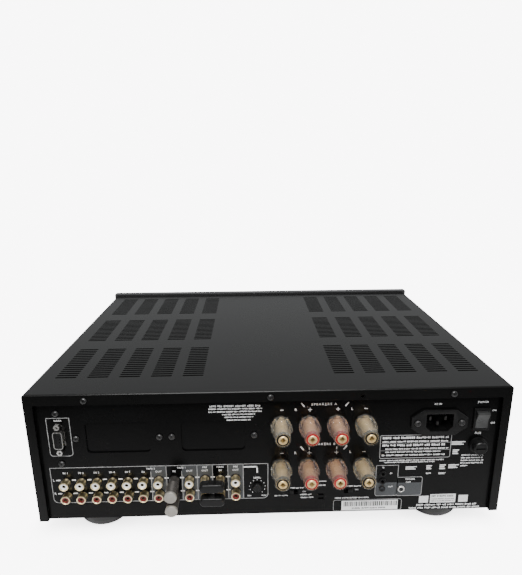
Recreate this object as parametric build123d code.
from build123d import *
import math
import os

# Integrated amplifier, millimetres. +Z is up and z = 0 is the surface the feet stand on.
# The control fascia faces -Y and the socket panel faces +Y. Seen from behind, +X is on the left.

# Overall sizes
cover_width = 430.0
cover_depth = 345.0
body_height = 128.0
foot_height = 12.0
fascia_overhang = 2.5
fascia_rise = 3.0
fascia_thickness = 12.0

# Sheet metal
sheet = 1.2
panel_sheet = 1.5
sheet_gap = 0.3
cover_bend = 2.0
panel_recess = 4.0
top_flange = 10.3
side_flange = 8.0
pan_lip = 18.0
bolt_flange = 14.0

# Vent slots in the cover
slot_length = 19.65
slot_width = 2.6
slot_pitch = 5.04
slots_per_block = 16
block_pitch_x = 29.5
block_pitch_y = 105.5
vent_inner_x = 61.2
vent_rear_margin = 36.9
vent_edge_margin = 14.0

# Machine screws, all of one kind
screw_r = 1.5
screw_clearance = 0.2
screw_head_r = 2.8
screw_head = 1.9
screw_length = 8.0
screw_recess = (3.2, 0.7, 1.1)

# Feet
foot_r = 23.0
foot_inset = 30.0
foot_x = 162.0
foot_floor = 5.0
foot_ring = 9.0

# Phono sockets and what plugs into them
rca_columns = 12
rca_pitch = 14.1
rca_edge = 27.5
rca_share = 0.303
rca_r = 4.15
rca_wall = 0.85
rca_reach = 8.0
rca_pin_r = 1.65
rca_block_depth = 10.0
plug_column = 7
plug_wall = 1.35
plug_length = 28.0
plug_groove = 0.45
plug_grooves = 7
plug_collar = 5.2
link_columns = (9, 10)
link_height = 8.4
link_depth = 8.5
pin_clearance = 0.08
free_gap = 0.3

# Loudspeaker binding posts
post_pitch = 25.1
post_first_x = -9.5
post_shares = (0.728, 0.390)
post_length = 29.0
grip_r = 9.65
grip_tip_r = 6.9
grip_wide_end = 12.5
grip_taper_end = 16.0
collar_r = 8.3
collar_length = 3.0
core_r = 5.7
socket_r = 3.9
banana_r = 2.0
banana_depth = 12.0
ring_length = 2.6
stem_r = 3.0
stem_length = 16.0
bush_wall = 1.9
bush_fit = 0.1
nut_r = 5.5
nut_height = 3.0
washer_r = 7.5
washer_thickness = 2.5
flute_count = 8
flute_r = 2.0
running_gap = 0.05

# Serial port
serial_edge = 26.9
serial_share = 0.6585
jackscrew_span = 25.0
dsub_long = 16.6
dsub_short = 8.2
dsub_reach = 5.6
dsub_gap = 0.6
dsub_wall = 0.5
dsub_flange = (12.4, 30.8)
jackscrew_hex_r = 2.75
jackscrew_reach = 5.0

# Blank expansion plates
blank_edges = (78.3, 163.3)
blank_share = 0.6516
blank_opening = (57.0, 30.0)
blank_corner = 4.0
blank_screw_span = 74.0
blank_margin = (9.0, 6.0)
bracket_screw_edge = 25.8
bracket_screw_shares = (0.847, 0.457)

# Mains inlet
inlet_edge = 62.7
inlet_share = 0.726
inlet_flange = (51.0, 25.0)
inlet_screw_span = 40.0
inlet_body = (28.0, 20.6)
inlet_cavity = (24.4, 17.0)
inlet_chamfer = 4.6
inlet_proud = 2.6
inlet_depth = 16.5
inlet_end_half = 5.0
inlet_back = 4.0
panel_fit = 0.2
pin_size = (2.0, 4.0)
pin_tag = 9.0
pin_recess = 5.0

# Mains rocker switch
rocker_edge = 24.0
rocker_share = 0.742
bezel_size = (14.8, 21.6)
bezel_proud = 2.0
rocker_width = 11.2
rocker_r = 9.0
rocker_tilt = 13.0
bezel_lap = 0.7
switch_depth = 16.0
rocker_face = 4.6
rocker_valley = 2.9
rocker_back = -3.2
pivot_r = 1.0
pivot_depth = 0.6

# Fuse holder
fuse_edge = 24.5
fuse_share = 0.535
fuse_flange_r = 8.0
fuse_cap_r = 6.25
fuse_cap_reach = 8.0
fuse_r = 2.6
fuse_length = 20.0
fuse_proud = 2.4
fuse_wall = 1.65
fuse_clearance = 0.15
fuse_body = 34.0
fuse_seat = 6.0
fuse_grip = 12.0
fuse_slot = (9.2, 1.4, 1.8)

# Small sockets, switches and the level control on the socket panel
mini_jack_r = 1.8
mini_barrel_r = 2.9
mini_depth = 14.0
remote_edge = 110.5
remote_share = 0.314
remote_pitch = 7.8
trigger_edge = 92.5
trigger_share = 0.184
slide_spread = 25.6
slide_share = 0.177
slide_opening = (8.0, 5.0)
slider_size = (3.6, 3.6)
slider_ridge = 0.9
level_offset = 19.9
level_share = 0.230
level_r = 4.0
level_shaft_r = 1.5
level_reach = 3.2
drain_slot = (6.0, 2.0)
drain_shares = (0.151, 0.119)

# Front controls
knob_reach = 22.0
volume_r = 21.0
selector_r = 15.0
tone_r = 9.5
tone_reach = 18.0
volume_x = 150.0
selector_x = 88.0
tone_x = (14.0, -24.0, -62.0)
knob_share = 0.50
button_x = (-188.0, -128.0, -104.0)
button_r = 5.0
button_reach = 3.4
headphone_x = -158.0
headphone_share = 0.27
headphone_r = 3.2
headphone_depth = 30.0
headphone_wall = 1.4
shaft_r = 3.0
button_share = 0.50

# Parts inside the case
toroid_r = 64.0
toroid_hole_r = 18.0
toroid_height = 60.0
heatsink_x = 108.0
heatsink_base = 8.0
heatsink_reach = 44.0
heatsink_height = 86.0
heatsink_length = 200.0
heatsink_rear_gap = 48.0
fin_count = 18
fin_thickness = 2.2
cap_r = 17.0
cap_height = 62.0
board = 1.6
boss_height = 14.0
boss_r = 4.0
pot_r = 8.5
pot_depth = 9.0
toroid_gap = 10.0
board_rear_gap = 45.0
transistor_pitch = 32.0
transistor_size = (5.0, 16.0, 20.0)
transistor_lift = 12.0
transistor_rear = 8.0
headphone_housing = 18.0
pan_slot = (36.0, 5.0)
pan_slot_pitch = 18.0
pan_slot_rear = 70.0
pan_slots = 10
boss_x = 80.0

# Fits that follow from the sizes above
screw_hole_r = screw_r + screw_clearance
plug_r = rca_r + plug_wall
fuse_spigot_r = fuse_cap_r - fuse_wall

# Derived planes. The box round the whole object is centred on the origin in X and Y.
half_width = cover_width / 2
base_z = foot_height
top_z = base_z + body_height
rear_reach = max(post_length, plug_length) - panel_recess
rear_y = (cover_depth + fascia_thickness + knob_reach - rear_reach) / 2
front_y = rear_y - cover_depth
fascia_y = front_y - fascia_thickness
panel_y = rear_y - panel_recess
inside_y = panel_y - panel_sheet
frame_y = front_y + panel_sheet
floor_z = base_z + sheet


def share_z(share):
    """Height of a share of the case, from the underside of the pan."""
    return base_z + share * body_height


rca_xs = [half_width - rca_edge - rca_pitch * i for i in range(rca_columns)]
rca_zs = (share_z(rca_share), share_z(rca_share) - rca_pitch)
post_xs = [post_first_x - post_pitch * i for i in range(4)]
post_zs = [share_z(share) for share in post_shares]
post_centre_x = sum(post_xs) / 4
level_x = rca_xs[-1] - level_offset
level_z = share_z(level_share)
serial_x = half_width - serial_edge
serial_z = share_z(serial_share)
blank_xs = [half_width - edge for edge in blank_edges]
blank_z = share_z(blank_share)
inlet_x = inlet_edge - half_width
inlet_z = share_z(inlet_share)
rocker_x = rocker_edge - half_width
rocker_z = share_z(rocker_share)
fuse_x = fuse_edge - half_width
fuse_z = share_z(fuse_share)
remote_x = remote_edge - half_width
trigger_x = trigger_edge - half_width
mini_jacks = [(remote_x, share_z(remote_share) - remote_pitch * i) for i in range(3)]
mini_jacks.append((trigger_x, share_z(trigger_share)))
slide_z = share_z(slide_share)
slide_xs = (post_centre_x + slide_spread, post_centre_x - slide_spread)
knob_z = share_z(knob_share)
button_z = share_z(button_share)
headphone_z = share_z(headphone_share)
amp_board_z = floor_z + boss_height
control_y = frame_y + pot_depth + panel_sheet
toroid_y = control_y + board + toroid_gap + toroid_r
amp_board_front = toroid_y + toroid_r + toroid_gap
amp_board_rear = inside_y - board_rear_gap
bracket_x = half_width - bracket_screw_edge
bracket_zs = [share_z(share) for share in bracket_screw_shares]
flange_z = top_z - top_flange
cover_screws = [(x, top_z - top_flange * 0.58) for x in (-foot_x, 0.0, foot_x)]
cover_pin_hole = (-foot_x / 2, top_z - top_flange * 0.66)
plate_screws = [(x + side * blank_screw_span / 2, blank_z) for x in blank_xs for side in (-1, 1)]
bracket_screws = [(bracket_x, z) for z in bracket_zs]
inlet_screws = [(inlet_x + side * inlet_screw_span / 2, inlet_z) for side in (-1, 1)]
side_screw_z = floor_z + pan_lip * 0.5
side_screw_ys = [front_y + cover_depth * share for share in (0.12, 0.5, 0.88)]
foot_places = [(x, y) for x in (-foot_x, foot_x) for y in (front_y + foot_inset, rear_y - foot_inset)]
floor_screw_xs = (-foot_x * 0.6, 0.0, foot_x * 0.6)
floor_screw_ys = (frame_y + bolt_flange / 2, inside_y - bolt_flange / 2)


def block(x0, x1, y0, y1, z0, z1):
    """Box between two opposite corners."""
    centre = Pos((x0 + x1) / 2, (y0 + y1) / 2, (z0 + z1) / 2)
    return centre * Box(abs(x1 - x0), abs(y1 - y0), abs(z1 - z0))


def rod(x, z, y0, y1, radius):
    """Round bar along Y."""
    return Pos(x, (y0 + y1) / 2, z) * Rot(90, 0, 0) * Cylinder(radius, abs(y1 - y0))


def post(x, y, z0, z1, radius):
    """Round bar along Z."""
    return Pos(x, y, (z0 + z1) / 2) * Cylinder(radius, abs(z1 - z0))


def upright(x, y, z):
    """Plane whose sketch x is +X and whose sketch y is +Z, with its normal towards -Y."""
    return Plane(origin=(x, y, z), x_dir=(1, 0, 0), z_dir=(0, -1, 0))


def turned(points, x, z):
    """Body turned about a Y axis through x, z from a closed outline of (radius, y) points."""
    half_plane = Plane(origin=(x, 0, z), x_dir=(1, 0, 0), z_dir=(0, 0, 1))
    outline = half_plane * make_face(Polyline(*points, close=True))
    return revolve(outline, Axis((x, 0, z), (0, 1, 0)), 360)


def pierced(outer, holes, plane, thickness):
    """Sheet made from an outline and its holes, which are sketches in the plane's own directions."""
    wires = [(plane * hole).wires()[0] for hole in holes]
    sheet_face = Face((plane * outer).wires()[0], wires)
    return Solid.extrude(sheet_face, plane.z_dir * thickness)


def save(shapes, node):
    """Write one node from a list of solids."""
    solids = []
    for shape in shapes:
        solids.extend(shape.solids())
    body = solids[0] if len(solids) == 1 else Compound(children=solids)
    export_step(body, os.path.join("parts", node + ".step"))


def vent_columns():
    """Inner edges of the vent columns on one side."""
    room = half_width - vent_inner_x - slot_length - vent_edge_margin
    return [vent_inner_x + block_pitch_x * i for i in range(int(room // block_pitch_x) + 1)]


def vent_rows():
    """Rear edges of the vent rows."""
    block_length = slot_pitch * (slots_per_block - 1) + slot_width
    room = cover_depth - vent_rear_margin - block_length - vent_edge_margin
    return [rear_y - vent_rear_margin - block_pitch_y * i for i in range(int(room // block_pitch_y) + 1)]


def top_cover():
    """Folded cover: slotted top, two sides and a narrow flange round the rear opening."""
    outer = block(-half_width, half_width, front_y, rear_y, base_z, top_z)
    long_edges = [edge for edge in outer.edges().filter_by(Axis.Y) if edge.center().Z > top_z - sheet]
    top_edges = [edge for edge in outer.edges().filter_by(Axis.X) if edge.center().Z > top_z - sheet]
    rear_edge = [edge for edge in top_edges if edge.center().Y > 0]
    outer = fillet(long_edges + rear_edge, cover_bend)
    inner_x = half_width - sheet
    shell = outer - block(-inner_x, inner_x, front_y - 1, rear_y - sheet, base_z - 1, top_z - sheet)
    window_x = half_width - side_flange
    shell -= block(-window_x, window_x, rear_y - 2 * sheet, rear_y + 1, base_z - 1, flange_z)
    field_x = half_width - vent_edge_margin / 2
    field_front = front_y + vent_edge_margin / 2
    field_rear = rear_y - vent_rear_margin / 2
    shell -= block(-field_x, field_x, field_front, field_rear, top_z - 2 * sheet, top_z + 1)
    for x, z in cover_screws + [cover_pin_hole]:
        shell -= rod(x, z, rear_y - 2 * sheet, rear_y + 1, screw_hole_r)
    for y in side_screw_ys:
        hole = Pos(0, y, side_screw_z) * Rot(0, 90, 0) * Cylinder(screw_hole_r, cover_width + 2)
        shell -= hole
    slots = []
    for inner in vent_columns():
        for rear in vent_rows():
            for i in range(slots_per_block):
                y = rear - slot_width / 2 - slot_pitch * i
                for side in (-1, 1):
                    x = side * (inner + slot_length / 2)
                    slots.append(Pos(x, y) * SlotOverall(slot_length, slot_width))
    field = Pos(0, (field_front + field_rear) / 2) * Rectangle(2 * field_x, field_rear - field_front)
    grille = pierced(field, slots, Plane.XY.offset(top_z - sheet), sheet)
    return shell.solids()[0].fuse(grille)


def bottom_pan():
    """Tray with lips up both sides, bosses for the amplifier board and slots under the heatsinks."""
    inner_x = half_width - sheet - sheet_gap
    slots = []
    for side in (-1, 1):
        for i in range(pan_slots):
            y = rear_y - pan_slot_rear - pan_slot_pitch * i
            slots.append(Pos(side * (heatsink_x + heatsink_reach / 2), y) * SlotOverall(*pan_slot))
    holes = [Pos(x, y) * Circle(screw_r) for x, y in foot_places]
    holes += [Pos(x, y) * Circle(screw_r) for x in floor_screw_xs for y in floor_screw_ys]
    middle = (front_y + inside_y) / 2
    floor = Pos(0, middle) * Rectangle(2 * inner_x, inside_y - front_y)
    pan = pierced(floor, slots + holes, Plane.XY.offset(base_z), sheet)
    for side in (-1, 1):
        lip_x = side * (inner_x - sheet)
        lip_front = frame_y + sheet_gap
        lip_rear = inside_y - sheet_gap
        lip = block(side * inner_x, lip_x, lip_front, lip_rear, base_z, floor_z + pan_lip)
        for y in side_screw_ys:
            lip -= Pos(side * inner_x, y, side_screw_z) * Rot(0, 90, 0) * Cylinder(screw_r, 6 * sheet)
        pan = pan + lip
    for x, y in board_bosses():
        pan = pan + post(x, y, base_z, amp_board_z, boss_r)
    return pan


def board_bosses():
    """Places of the four bosses under the amplifier board."""
    inset = 2.5 * boss_r
    return [(x, y) for x in (-boss_x, boss_x) for y in (amp_board_front + inset, amp_board_rear - inset)]


def rear_panel():
    """Socket panel: a plate set back inside the cover, with a stepped rim behind the cover's flange."""
    inner_x = half_width - side_flange
    rim_x = half_width - sheet - sheet_gap
    rim_top = top_z - sheet - sheet_gap
    holes = []
    for x in rca_xs:
        holes += [Pos(x, z) * Circle(rca_r + rca_wall) for z in rca_zs]
    for x in post_xs:
        holes += [Pos(x, z) * Circle(stem_r + bush_wall + bush_fit) for z in post_zs]
    for x, z in plate_screws + bracket_screws + inlet_screws:
        holes.append(Pos(x, z) * Circle(screw_hole_r))
    for x in blank_xs:
        holes.append(Pos(x, blank_z) * RectangleRounded(blank_opening[0], blank_opening[1], blank_corner))
    port = RectangleRounded(dsub_short + 2 * dsub_gap, dsub_long + 2 * dsub_gap, 1.5)
    holes.append(Pos(serial_x, serial_z) * port)
    for side in (-1, 1):
        holes.append(Pos(serial_x, serial_z + side * jackscrew_span / 2) * Circle(screw_r))
    inlet_hole = Rectangle(inlet_body[0] + 2 * panel_fit, inlet_body[1] + 2 * panel_fit)
    holes.append(Pos(inlet_x, inlet_z) * inlet_hole)
    rocker_hole = Rectangle(bezel_size[0] - 2 * bezel_lap, bezel_size[1] - 2 * bezel_lap)
    holes.append(Pos(rocker_x, rocker_z) * rocker_hole)
    holes.append(Pos(fuse_x, fuse_z) * Circle(fuse_cap_r + 2 * fuse_clearance + running_gap))
    holes += [Pos(x, z) * Circle(mini_barrel_r + 0.1) for x, z in mini_jacks]
    holes += [Pos(x, slide_z) * Rectangle(*slide_opening) for x in slide_xs]
    holes += [Pos(post_centre_x, share_z(s)) * RectangleRounded(*drain_slot, 0.9) for s in drain_shares]
    holes.append(Pos(level_x, level_z) * Circle(level_r + 0.4))
    plate_x = inner_x + panel_sheet
    plate_top = flange_z + panel_sheet
    middle_z = (base_z + plate_top) / 2
    outline = Pos(0, middle_z) * Rectangle(2 * plate_x, plate_top - base_z)
    panel = pierced(outline, holes, upright(0, panel_y, 0), panel_sheet)
    rim_y = rear_y - sheet
    tunnel = block(-plate_x, plate_x, panel_y, rim_y, base_z, plate_top)
    tunnel -= block(-inner_x, inner_x, panel_y - 1, rim_y + 1, base_z - 1, flange_z)
    rim = block(-rim_x, rim_x, rim_y - panel_sheet, rim_y, base_z, rim_top)
    rim -= block(-inner_x, inner_x, rim_y - 2 * panel_sheet, rim_y + 1, base_z - 1, flange_z)
    for x, z in cover_screws + [cover_pin_hole]:
        rim -= rod(x, z, rim_y - 2 * panel_sheet, rim_y + 1, screw_r)
    foot = block(-inner_x, inner_x, inside_y - bolt_flange, inside_y, floor_z, floor_z + panel_sheet)
    for x in floor_screw_xs:
        foot -= post(x, floor_screw_ys[1], base_z, floor_z + 3 * panel_sheet, screw_r)
    return panel + tunnel + rim + foot


def front_holes(extra):
    """Sketches of the holes for the front controls, each wider than its part by the given amount."""
    holes = [Pos(x, knob_z) * Circle(shaft_r + 0.5 + extra) for x in (volume_x, selector_x) + tone_x]
    holes += [Pos(x, button_z) * Circle(button_r + extra) for x in button_x]
    holes.append(Pos(headphone_x, headphone_z) * Circle(headphone_r + headphone_wall + panel_fit))
    return holes


def fascia_screws():
    """Places of the screws that hold the fascia to the front frame."""
    return [(x, z) for x in (-foot_x - 30.0, foot_x + 30.0) for z in (share_z(0.15), share_z(0.85))]


def front_frame():
    """Steel frame behind the fascia, with a flange that is screwed to the pan."""
    inner_x = half_width - sheet - sheet_gap
    top = top_z - sheet - sheet_gap
    outline = Pos(0, (floor_z + top) / 2) * Rectangle(2 * inner_x, top - floor_z)
    holes = front_holes(free_gap) + [Pos(x, z) * Circle(screw_hole_r) for x, z in fascia_screws()]
    frame = pierced(outline, holes, upright(0, frame_y, 0), panel_sheet)
    foot_end = inner_x - 2 * sheet
    foot = block(-foot_end, foot_end, frame_y, frame_y + bolt_flange, floor_z, floor_z + panel_sheet)
    for x in floor_screw_xs:
        foot -= post(x, floor_screw_ys[0], base_z, floor_z + 3 * panel_sheet, screw_r)
    return frame + foot


def fascia():
    """Thick control fascia that stands a little above and beside the cover."""
    width = cover_width + 2 * fascia_overhang
    height = body_height + fascia_rise
    outline = Pos(0, base_z + height / 2) * Rectangle(width, height)
    body = pierced(outline, front_holes(free_gap), upright(0, front_y, 0), fascia_thickness)
    tall = [edge for edge in body.edges().filter_by(Axis.Z) if edge.length > height - 1]
    rim = [edge for edge in tall if abs(edge.center().Y - fascia_y) < running_gap]
    body = fillet(rim, cover_bend)
    for x, z in fascia_screws():
        body -= rod(x, z, front_y + 1, front_y - screw_length, screw_r)
    return body


def feet():
    """Four round feet, hollow underneath for their screws, with a ring they stand on."""
    made = []
    for x, y in foot_places:
        foot = post(x, y, 0, foot_height, foot_r)
        foot = fillet(foot.edges().group_by(Axis.Z)[-1], 1.2)
        foot = fillet(foot.edges().group_by(Axis.Z)[0], 2.0)
        foot -= post(x, y, -1, foot_height - foot_floor, foot_r - foot_ring)
        foot -= post(x, y, 0, foot_height + 1, screw_hole_r)
        made.append(foot)
    return made


def screw():
    """Pan-head screw with a cross recess, its head seat at the origin and its shank along -Z."""
    head = Pos(0, 0, screw_head / 2) * Cylinder(screw_head_r, screw_head)
    head = fillet(head.edges().group_by(Axis.Z)[-1], 0.9)
    long, wide, deep = screw_recess
    for angle in (45, 135):
        head -= Pos(0, 0, screw_head) * Rot(0, 0, angle) * Box(long, wide, 2 * deep)
    shank = Pos(0, 0, -screw_length / 2) * Cylinder(screw_r, screw_length)
    return head + shank


def machine_screws():
    """Every case screw: rear flange, socket panel, inlet, sides, feet, floor and fascia."""
    model = screw()
    to_rear = Rot(-90, 0, 0)
    made = [Pos(x, rear_y, z) * to_rear * model for x, z in cover_screws]
    made += [Pos(x, panel_y, z) * to_rear * model for x, z in plate_screws + bracket_screws]
    made += [Pos(x, panel_y + inlet_proud, z) * to_rear * model for x, z in inlet_screws]
    for side in (-1, 1):
        for y in side_screw_ys:
            made.append(Pos(side * half_width, y, side_screw_z) * Rot(0, side * 90, 0) * model)
    seat_z = foot_height - foot_floor
    made += [Pos(x, y, seat_z) * Rot(180, 0, 0) * model for x, y in foot_places]
    made += [Pos(x, y, base_z) * Rot(180, 0, 0) * model for x in floor_screw_xs for y in floor_screw_ys]
    made += [Pos(x, frame_y, z) * to_rear * model for x, z in fascia_screws()]
    return made


def transformer():
    """Wound ring transformer with its clamping disc, bolt and rubber mat."""
    mat = post(0, toroid_y, floor_z, floor_z + 2, toroid_r)
    ring = post(0, toroid_y, floor_z + 2, floor_z + 2 + toroid_height, toroid_r)
    ring -= post(0, toroid_y, floor_z, floor_z + 4 + toroid_height, toroid_hole_r)
    ring = fillet(ring.edges(), 10.0)
    disc = post(0, toroid_y, floor_z + 2 + toroid_height, floor_z + 4 + toroid_height, toroid_r * 0.6)
    bolt = post(0, toroid_y, floor_z + 2, floor_z + 12 + toroid_height, 4.0)
    return [mat, ring, disc - bolt, bolt]


def heatsinks():
    """A finned heatsink on each side, standing on the pan beside the amplifier board."""
    made = []
    rear = rear_y - heatsink_rear_gap
    top = floor_z + heatsink_height
    pitch = (heatsink_length - fin_thickness) / (fin_count - 1)
    for side in (-1, 1):
        back = side * heatsink_x
        spine = block(back, back + side * heatsink_base, rear - heatsink_length, rear, floor_z, top)
        fins = []
        for i in range(fin_count):
            y = rear - pitch * i
            tip = back + side * heatsink_reach
            start = back + side * heatsink_base / 2
            fins.append(block(start, tip, y - fin_thickness, y, floor_z + heatsink_base, top))
        made.append(spine.fuse(*fins))
    return made


def amplifier_board():
    """Power amplifier board between the heatsinks, with its output transistors."""
    thick, wide, high = transistor_size
    edge = heatsink_x - heatsink_base
    made = [block(-edge, edge, amp_board_front, amp_board_rear, amp_board_z, amp_board_z + board)]
    bottom = amp_board_z + transistor_lift
    for side in (-1, 1):
        for i in range(4):
            rear = amp_board_rear - transistor_rear - transistor_pitch * i
            x = side * heatsink_x
            made.append(block(x - side * thick, x, rear - wide, rear, bottom, bottom + high))
    return made


def reservoir_capacitors():
    """Four large capacitors standing on the amplifier board."""
    made = []
    for x in (-cap_r * 1.2, cap_r * 1.2):
        for y in (amp_board_front + cap_r + 12.0, amp_board_front + 3 * cap_r + 20.0):
            can = post(x, y, amp_board_z + board, amp_board_z + board + cap_height, cap_r)
            made.append(fillet(can.edges().group_by(Axis.Z)[-1], 1.5))
    return made


def input_board():
    """Upright board behind the phono sockets, with the socket blocks and the level control's body."""
    depth = inside_y - rca_block_depth
    inner = rca_xs[-1] - level_offset - 12.0
    lower = rca_zs[1] - 14.0
    holes = [Pos(x, z) * Circle(rca_r + rca_wall) for x in rca_xs for z in rca_zs]
    top_of_board = rca_zs[0] + 12.0
    width = half_width - 12.0 - inner
    outline = Pos(inner + width / 2, (lower + top_of_board) / 2) * Rectangle(width, top_of_board - lower)
    plate = pierced(outline, holes, upright(0, depth, 0), board)
    made = [plate]
    for i in range(0, rca_columns, 2):
        left = rca_xs[i] + rca_pitch / 2 - 0.2
        right = rca_xs[i + 1] - rca_pitch / 2 + 0.2
        top = rca_zs[0] + rca_pitch / 2
        bottom = rca_zs[1] - rca_pitch / 2
        housing = block(left, right, depth, inside_y, bottom, top)
        for x in (rca_xs[i], rca_xs[i + 1]):
            for z in rca_zs:
                housing = housing + rod(x, z, inside_y - 1, panel_y + 0.5, rca_r + rca_wall - 0.1)
                housing -= rod(x, z, depth - 1, panel_y + 1, rca_r)
        made.append(housing)
    pot = rod(level_x, level_z, depth, inside_y, pot_r)
    made.append(pot - rod(level_x, level_z, depth + 1, panel_y, level_shaft_r + running_gap))
    return made


def control_board():
    """Upright board behind the front frame, with the bodies of the rotary controls and push switches."""
    board_y = control_y
    low = share_z(0.2)
    high = share_z(0.8)
    plate = block(-half_width + 12, half_width - 12, board_y, board_y + board, low, high)
    notch = headphone_housing / 2 + free_gap
    plate -= block(headphone_x - notch, headphone_x + notch, board_y - 1, board_y + 2 * board,
                   headphone_z - 2 * notch, headphone_z + notch)
    made = [plate]
    for x in (volume_x, selector_x) + tone_x:
        body = rod(x, knob_z, frame_y + 1.5, board_y, pot_r)
        made.append(body - rod(x, knob_z, frame_y, board_y - 2.0, shaft_r + running_gap))
    for x in button_x:
        body = block(x - 6, x + 6, frame_y + 4.5, board_y, button_z - 6, button_z + 6)
        made.append(body)
    return made


def rca_shells():
    """Outer contacts of the phono sockets."""
    made = []
    for x in rca_xs:
        for z in rca_zs:
            tip = panel_y + rca_reach
            profile = [(rca_r - rca_wall, inside_y - 6), (rca_r, inside_y - 6), (rca_r, tip - 0.3)]
            profile += [(rca_r - 0.3, tip), (rca_r - rca_wall, tip)]
            made.append(turned(profile, x, z))
    return made


def rca_inserts(z):
    """Insulating inserts of one row of phono sockets, with their centre contact holes."""
    made = []
    inner = rca_r - rca_wall
    tip = panel_y + rca_reach - 0.5
    for x in rca_xs:
        profile = [(rca_pin_r, tip), (rca_pin_r, inside_y - 2), (0.0, inside_y - 2), (0.0, inside_y - 6)]
        profile += [(inner, inside_y - 6), (inner, tip)]
        made.append(turned(profile, x, z))
    return made


def shorting_plug(z):
    """Ribbed metal plug with a flat end, which caps one phono socket."""
    x = rca_xs[plug_column]
    start = panel_y + 1.0
    tip = panel_y + plug_length
    bore = rca_r + 0.15
    profile = [(0.0, tip), (plug_r - 0.4, tip), (plug_r, tip - 0.4)]
    rib = (plug_length - 11.0) / plug_grooves
    y = tip - 2.6
    for i in range(plug_grooves):
        groove_r = plug_r - plug_groove
        profile += [(plug_r, y), (groove_r, y - 0.3), (groove_r, y - 0.9), (plug_r, y - 1.2)]
        y -= rib
    profile += [(plug_r, start + plug_collar), (plug_r - 0.6, start + plug_collar - 0.8)]
    profile += [(plug_r - 0.6, start), (bore, start), (bore, panel_y + rca_reach + 2 * free_gap)]
    profile += [(rca_pin_r - pin_clearance, panel_y + rca_reach + 2 * free_gap)]
    profile += [(rca_pin_r - pin_clearance, inside_y + 0.5), (0.0, inside_y + 0.5)]
    return turned(profile, x, z)


def link_bar(z):
    """Moulded link that joins two neighbouring phono sockets through their centre contacts."""
    xs = [rca_xs[i] for i in link_columns]
    middle = sum(xs) / 2
    near = panel_y + rca_reach + free_gap
    far = near + link_depth
    face = upright(middle, far, z) * SlotOverall(rca_pitch + link_height, link_height)
    body = extrude(face, link_depth)
    body = fillet(body.faces().sort_by(Axis.Y)[-1].edges(), 1.2)
    tab = upright(middle, far - 1.0, z + link_height / 2 - 0.6) * RectangleRounded(6.6, 3.0, 1.2)
    body = body + extrude(tab, link_depth - 2.5)
    for x in xs:
        body = body + rod(x, z, inside_y + 0.5, near + 1, rca_pin_r - pin_clearance)
    return body


def post_bases():
    """Moulded collars that insulate the binding posts from the panel, with eight flats each."""
    made = []
    for x in post_xs:
        for z in post_zs:
            face = upright(x, panel_y + collar_length, z) * RegularPolygon(collar_r, 8, False)
            collar = extrude(face, collar_length)
            spigot = rod(x, z, inside_y - washer_thickness, panel_y + 0.5, stem_r + bush_wall)
            washer = rod(x, z, inside_y - washer_thickness, inside_y, washer_r)
            bore = rod(x, z, inside_y - 2 * washer_thickness, panel_y + 2 * collar_length, stem_r)
            made.append((collar + spigot + washer) - bore)
    return made


def post_stems():
    """Threaded stems of the binding posts, with the nuts that clamp them inside the panel."""
    made = []
    for x in post_xs:
        for z in post_zs:
            stem = rod(x, z, inside_y - stem_length, panel_y + post_length - banana_depth - 1.0, stem_r)
            nut = extrude(upright(x, inside_y - washer_thickness, z) * RegularPolygon(nut_r, 6), nut_height)
            made.append(stem + nut)
    return made


def post_core(x, z):
    """Brass insert of a binding post: threaded behind, with a cross-cut plug socket at its tip."""
    tip = panel_y + post_length
    start = panel_y + collar_length + free_gap
    deep = tip - banana_depth
    ring_back = tip - 1.0 - ring_length
    bore = stem_r + running_gap
    profile = [(bore, start), (core_r, start), (core_r, ring_back), (socket_r, ring_back)]
    profile += [(socket_r, tip - 0.4), (socket_r - 0.4, tip), (banana_r, tip), (banana_r, deep), (bore, deep)]
    core = turned(profile, x, z)
    for angle in (0, 90):
        cut = Pos(x, tip, z) * Rot(0, angle, 0) * Box(0.7, banana_depth, 3 * socket_r)
        core -= cut & rod(x, z, tip - banana_depth, tip + 1, socket_r - 0.7)
    ring_tip = ring_back + ring_length
    profile = [(socket_r, ring_back), (core_r, ring_back), (core_r, ring_tip), (socket_r, ring_tip)]
    return [core, turned(profile, x, z)]


def post_grip(x, z):
    """Clear fluted hand grip of a binding post."""
    start = panel_y + collar_length + free_gap
    wide = panel_y + grip_wide_end
    tip = panel_y + post_length - 0.6
    bore = core_r + running_gap
    profile = [(bore, start), (grip_r - 0.8, start), (grip_r, start + 0.8), (grip_r, wide - 1.0)]
    profile += [(grip_r - 1.2, wide), (grip_tip_r, panel_y + grip_taper_end), (grip_tip_r, tip - 0.5)]
    profile += [(grip_tip_r - 0.5, tip), (bore, tip)]
    grip = turned(profile, x, z)
    flute_centre = grip_r + 0.55 * flute_r
    for i in range(flute_count):
        angle = math.radians(360.0 * (i + 0.5) / flute_count)
        flute_x = x + flute_centre * math.cos(angle)
        flute_z = z + flute_centre * math.sin(angle)
        grip -= rod(flute_x, flute_z, start - 1, wide + 0.2, flute_r)
    return grip


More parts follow.
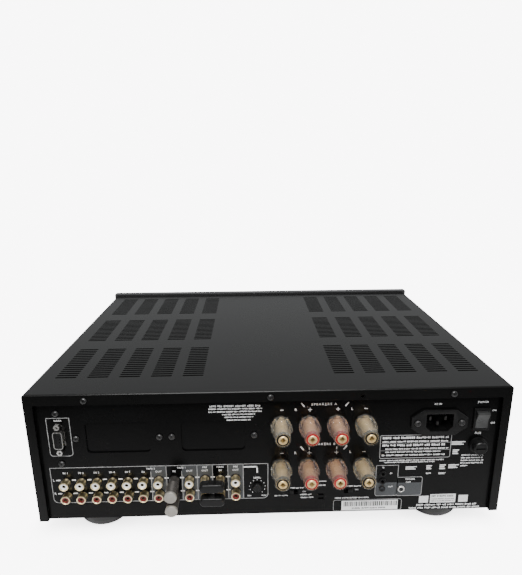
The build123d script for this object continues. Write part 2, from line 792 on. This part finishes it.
def serial_shell():
    """Metal shell of the serial socket, its mounting flange and its two jackscrews."""
    mouth = upright(serial_x, panel_y + dsub_reach, serial_z)
    outer = mouth * RectangleRounded(dsub_short, dsub_long, 2.2)
    inner = mouth * RectangleRounded(dsub_short - 2 * dsub_wall, dsub_long - 2 * dsub_wall, 1.7)
    depth = dsub_reach + panel_sheet + 1.0
    shell = extrude(outer, depth) - extrude(inner, depth)
    flange = extrude(upright(serial_x, inside_y, serial_z) * Rectangle(*dsub_flange), 1.0)
    flange -= extrude(inner, depth)
    made = []
    for side in (-1, 1):
        z = serial_z + side * jackscrew_span / 2
        flange -= rod(serial_x, z, inside_y - 2, inside_y + 1, screw_r)
        face = upright(serial_x, panel_y + jackscrew_reach, z) * RegularPolygon(jackscrew_hex_r, 6)
        head = extrude(face, jackscrew_reach) + rod(serial_x, z, panel_y - 6.0, panel_y, screw_r)
        made.append(head - rod(serial_x, z, panel_y, panel_y + jackscrew_reach + 1, 0.8 * screw_r))
    return [shell + flange] + made


def serial_insulator():
    """Insulator of the serial socket, with its nine contact holes."""
    depth = dsub_reach + panel_sheet + 4.0
    lining = 2 * dsub_wall + 2 * running_gap
    outline = RectangleRounded(dsub_short - lining, dsub_long - lining, 1.6)
    holes = []
    for count, x in ((5, 1.42), (4, -1.42)):
        for i in range(count):
            holes.append(Pos(x, 2.77 * (i - (count - 1) / 2)) * Circle(0.55))
    plane = upright(serial_x, panel_y + dsub_reach - 0.4, serial_z)
    body = pierced(outline, holes, plane, depth - 3.0)
    return body + extrude(plane.offset(depth - 3.0) * outline, 3.0)


def blank_plates():
    """Plates that close the two expansion openings from inside."""
    made = []
    for x in blank_xs:
        width = blank_screw_span + blank_margin[0]
        outline = RectangleRounded(width, blank_opening[1] + blank_margin[1], 2.0)
        holes = [Pos(side * blank_screw_span / 2, 0) * Circle(screw_r) for side in (-1, 1)]
        made.append(pierced(outline, holes, upright(x, inside_y, blank_z), sheet))
    return made


def inlet_outline():
    """Outline of the appliance coupler's cavity, with its two lower corners cut off."""
    half_x = inlet_cavity[0] / 2
    half_z = inlet_cavity[1] / 2
    points = [(-half_x, half_z), (half_x, half_z), (half_x, inlet_chamfer - half_z)]
    points += [(half_x - inlet_chamfer, -half_z), (inlet_chamfer - half_x, -half_z)]
    points += [(-half_x, inlet_chamfer - half_z)]
    return make_face(Polyline(*points, close=True))


def inlet_socket():
    """Moulded mains inlet: screwed flange, body through the panel and the cavity for the lead's connector."""
    wide = inlet_flange[0] / 2
    high = inlet_flange[1] / 2
    shoulder = inlet_body[0] / 2 + 1.0
    end = inlet_end_half
    points = [(-shoulder, high), (shoulder, high), (wide, end), (wide, -end)]
    points += [(shoulder, -high), (-shoulder, -high), (-wide, -end), (-wide, end)]
    face = upright(inlet_x, panel_y + inlet_proud, inlet_z)
    flange = extrude(face * make_face(Polyline(*points, close=True)), inlet_proud)
    body_depth = inlet_depth + inlet_back
    body = extrude(face * RectangleRounded(inlet_body[0], inlet_body[1], 1.0), body_depth)
    moulding = flange + body - extrude(face * inlet_outline(), inlet_depth)
    for x, z in inlet_screws:
        moulding -= rod(x, z, panel_y - 1, panel_y + 2 * inlet_proud, screw_hole_r)
    for x, z in inlet_pin_places():
        moulding -= pin_block(x, z, panel_y - 2 * inlet_depth, panel_y - inlet_depth + inlet_back)
    return moulding


def inlet_pin_places():
    """Centres of the line, neutral and earth pins."""
    return [(inlet_x - 7.0, inlet_z + 2.0), (inlet_x + 7.0, inlet_z + 2.0), (inlet_x, inlet_z - 3.0)]


def pin_block(x, z, back, tip):
    """Flat pin of the mains inlet between two depths."""
    wide, high = pin_size
    return block(x - wide / 2, x + wide / 2, back, tip, z - high / 2, z + high / 2)


def inlet_pins():
    """Three flat pins that stand in the inlet's cavity and end in solder tags behind it."""
    back = panel_y - inlet_depth - pin_tag
    return [pin_block(x, z, back, panel_y + inlet_proud - pin_recess) for x, z in inlet_pin_places()]


def switch_frames():
    """Frames of the mains rocker and of the two slide switches."""
    face = upright(rocker_x, panel_y + bezel_proud, rocker_z) * RectangleRounded(*bezel_size, 1.0)
    body_x = bezel_size[0] / 2 - bezel_lap - panel_fit
    body_z = bezel_size[1] / 2 - bezel_lap - panel_fit
    body = upright(rocker_x, panel_y, rocker_z) * Rectangle(2 * body_x, 2 * body_z)
    frame = extrude(face, bezel_proud) + extrude(body, switch_depth)
    well_x = rocker_width / 2 + panel_fit
    well_z = rocker_r + panel_fit + running_gap
    well = upright(rocker_x, panel_y + 3, rocker_z) * Rectangle(2 * well_x, 2 * well_z)
    frame -= extrude(well, switch_depth)
    bearing = Rot(0, 90, 0) * Cylinder(pivot_r + running_gap, 2 * well_x + 1.4)
    frame -= Pos(rocker_x, rocker_pivot_y(), rocker_z) * bearing
    made = [frame]
    wide, high = slide_opening
    for x in slide_xs:
        low = slide_z - high / 2
        top = slide_z + high / 2
        housing = block(x - wide / 2 - 2, x + wide / 2 + 2, inside_y - 7, inside_y, low - 1.5, top + 1.5)
        housing -= block(x - wide / 2, x + wide / 2, inside_y - 5, inside_y + 1, low, top)
        made.append(housing)
    return made


def rocker_pivot_y():
    """Y of the mains rocker's pivot."""
    return panel_y - pivot_depth


def mains_rocker():
    """Rocker with a shallow valley across its face, resting in the off position with its upper end out."""
    face_y = rocker_face
    back_y = rocker_back
    end_z = math.sqrt(rocker_r ** 2 - face_y ** 2)
    back_z = math.sqrt(rocker_r ** 2 - back_y ** 2)
    section = Polyline((back_y, -back_z), (back_y, back_z))
    upper = ThreePointArc((back_y, back_z), (0.0, rocker_r), (face_y, end_z))
    valley = Polyline((face_y, end_z), (rocker_valley, 0.0), (face_y, -end_z))
    lower = ThreePointArc((face_y, -end_z), (0.0, -rocker_r), (back_y, -back_z))
    profile = make_face([section.edges(), upper.edges(), valley.edges(), lower.edges()])
    side = Plane(origin=(-rocker_width / 2, 0, 0), x_dir=(0, 1, 0), z_dir=(1, 0, 0))
    body = extrude(side * profile, rocker_width)
    body = body + Rot(0, 90, 0) * Cylinder(pivot_r, rocker_width + 1.0)
    return Pos(rocker_x, rocker_pivot_y(), rocker_z) * Rot(-rocker_tilt, 0, 0) * body


def fuse_holder():
    """Fuse holder body: a flange outside the panel and a tube behind it, open to its cap."""
    body = rod(fuse_x, fuse_z, panel_y, panel_y + fuse_proud, fuse_flange_r)
    tube_r = fuse_cap_r + 2 * fuse_clearance
    body = body + rod(fuse_x, fuse_z, panel_y - fuse_body, panel_y + 0.5, tube_r)
    bore_r = fuse_spigot_r + fuse_clearance
    return body - rod(fuse_x, fuse_z, panel_y - fuse_body + 2.0, panel_y + fuse_proud + 1, bore_r)


def fuse_link():
    """Glass fuse with its two metal ends."""
    return rod(fuse_x, fuse_z, panel_y - fuse_seat - fuse_length, panel_y - fuse_seat, fuse_r)


def fuse_cap():
    """Bayonet cap with a screwdriver slot and a hollow spigot that carries the fuse."""
    tip = panel_y + fuse_cap_reach
    seat = panel_y + fuse_proud + free_gap
    back = panel_y - fuse_grip
    cup_r = fuse_r + 0.1
    cup = panel_y - fuse_seat + 0.2
    profile = [(0.0, tip), (fuse_cap_r - 0.6, tip), (fuse_cap_r, tip - 0.6), (fuse_cap_r, seat)]
    profile += [(fuse_spigot_r, seat), (fuse_spigot_r, back), (cup_r, back), (cup_r, cup), (0.0, cup)]
    long, high, deep = fuse_slot
    slot = extrude(upright(fuse_x, tip + 1, fuse_z) * Rectangle(long, high), deep + 1)
    return turned(profile, fuse_x, fuse_z) - slot


def jack_sockets():
    """Small control jacks on the socket panel and the headphone jack behind the fascia."""
    made = []
    half = remote_pitch / 2 - 0.2
    for x, z in mini_jacks:
        barrel = rod(x, z, inside_y - mini_depth, panel_y + 1.2, mini_barrel_r)
        housing = block(x - half, x + half, inside_y - mini_depth, inside_y, z - half, z + half)
        made.append(barrel + housing - rod(x, z, inside_y - mini_depth + 1, panel_y + 2, mini_jack_r))
    mouth = fascia_y - 0.4
    housing = rod(headphone_x, headphone_z, mouth, mouth + headphone_depth, headphone_r + headphone_wall)
    half = headphone_housing / 2
    housing = housing + block(headphone_x - half, headphone_x + half, frame_y, mouth + headphone_depth + 2,
                              headphone_z - half, headphone_z + half)
    made.append(housing - rod(headphone_x, headphone_z, mouth - 1, mouth + headphone_depth, headphone_r))
    return made


def slider(x, side):
    """Ridged button of a slide switch, resting at one end of its slot."""
    wide, high = slider_size
    travel = slide_opening[0] - wide - 2 * free_gap
    centre = x + side * travel / 2
    low = slide_z - high / 2
    top = slide_z + high / 2
    knob = block(centre - wide / 2, centre + wide / 2, inside_y - 4.5, panel_y + slider_ridge, low, top)
    for i in (-1, 0, 1):
        groove = centre + i * slider_ridge
        knob -= block(groove - 0.2, groove + 0.2, panel_y + 0.4, panel_y + 2, low - 1, top + 1)
    return knob


def level_knob():
    """Small rotary control with a slotted end, and its shaft."""
    tip = panel_y + level_reach
    back = panel_y - 1.2
    end = inside_y - rca_block_depth + 2
    profile = [(0.0, tip), (level_r - 0.4, tip), (level_r, tip - 0.4), (level_r, back)]
    profile += [(level_shaft_r, back), (level_shaft_r, end), (0.0, end)]
    slot = block(level_x - 0.5, level_x + 0.5, tip - 1.2, tip + 1, level_z - level_r, level_z + 2 * level_r)
    return turned(profile, level_x, level_z) - slot


def front_knob(x, radius, reach):
    """Turned knob with a marker groove, and the shaft it is fixed to."""
    tip = fascia_y - reach
    near = fascia_y - 0.8
    back = frame_y + pot_depth - 1.0
    profile = [(0.0, tip), (radius - 1.5, tip), (radius - 0.6, tip + 1.5), (radius, near)]
    profile += [(shaft_r, near), (shaft_r, back), (0.0, back)]
    groove = block(x - 0.5, x + 0.5, tip - 1, tip + 0.6, knob_z + radius * 0.45, knob_z + 2 * radius)
    return turned(profile, x, knob_z) - groove


def push_button(x):
    """Round push button with its plunger, resting out."""
    tip = fascia_y - button_reach
    cap = rod(x, button_z, tip, frame_y + 0.5, button_r)
    cap = fillet(cap.edges().group_by(Axis.Y)[0], 0.6)
    return cap + rod(x, button_z, frame_y, frame_y + 1.2, 2.0)


os.makedirs("parts", exist_ok=True)

save([bottom_pan()], "bottom_pan")
save([rear_panel()], "rear_panel")
save([front_frame()], "front_frame")
save([fascia()], "fascia")
save([top_cover()], "top_cover")
save(feet(), "feet")
save(machine_screws(), "machine_screws")
save(transformer(), "transformer")
save(heatsinks(), "heatsinks")
save(reservoir_capacitors(), "reservoir_capacitors")
save(amplifier_board(), "amplifier_board")
save(input_board(), "input_board")
save(control_board(), "control_board")
save(rca_shells(), "rca_shells")
save(rca_inserts(rca_zs[0]), "rca_inserts_white")
save(rca_inserts(rca_zs[1]), "rca_inserts_red")
save(serial_shell(), "serial_shell")
save([serial_insulator()], "serial_insulator")
save(blank_plates(), "blank_plates")
save([inlet_socket()], "inlet_socket")
save(inlet_pins(), "inlet_pins")
save(switch_frames(), "switch_frames")
save([fuse_holder()], "fuse_holder")
save(jack_sockets(), "jack_sockets")
save(post_bases(), "post_bases")
save(post_stems(), "post_stems")
save([mains_rocker()], "mains_rocker")
save([fuse_link()], "fuse_link")
save([fuse_cap()], "fuse_cap")
save([level_knob()], "level_knob")
save([slider(slide_xs[0], 1)], "slider_left")
save([slider(slide_xs[1], -1)], "slider_right")
for name, row in (("upper", 0), ("lower", 1)):
    save([shorting_plug(rca_zs[row])], "shorting_plug_" + name)
    save([link_bar(rca_zs[row])], "link_bar_" + name)
for row, z in enumerate(post_zs):
    for column, x in enumerate(post_xs):
        name = "ab"[row] + str(column + 1)
        save(post_core(x, z), "post_core_" + name)
        save([post_grip(x, z)], "post_grip_" + name)
save([front_knob(volume_x, volume_r, knob_reach)], "volume_knob")
save([front_knob(selector_x, selector_r, knob_reach)], "source_knob")
for x, name in zip(tone_x, ("bass_knob", "treble_knob", "balance_knob")):
    save([front_knob(x, tone_r, tone_reach)], name)
for x, name in zip(button_x, ("power_button", "speaker_a_button", "speaker_b_button")):
    save([push_button(x)], name)
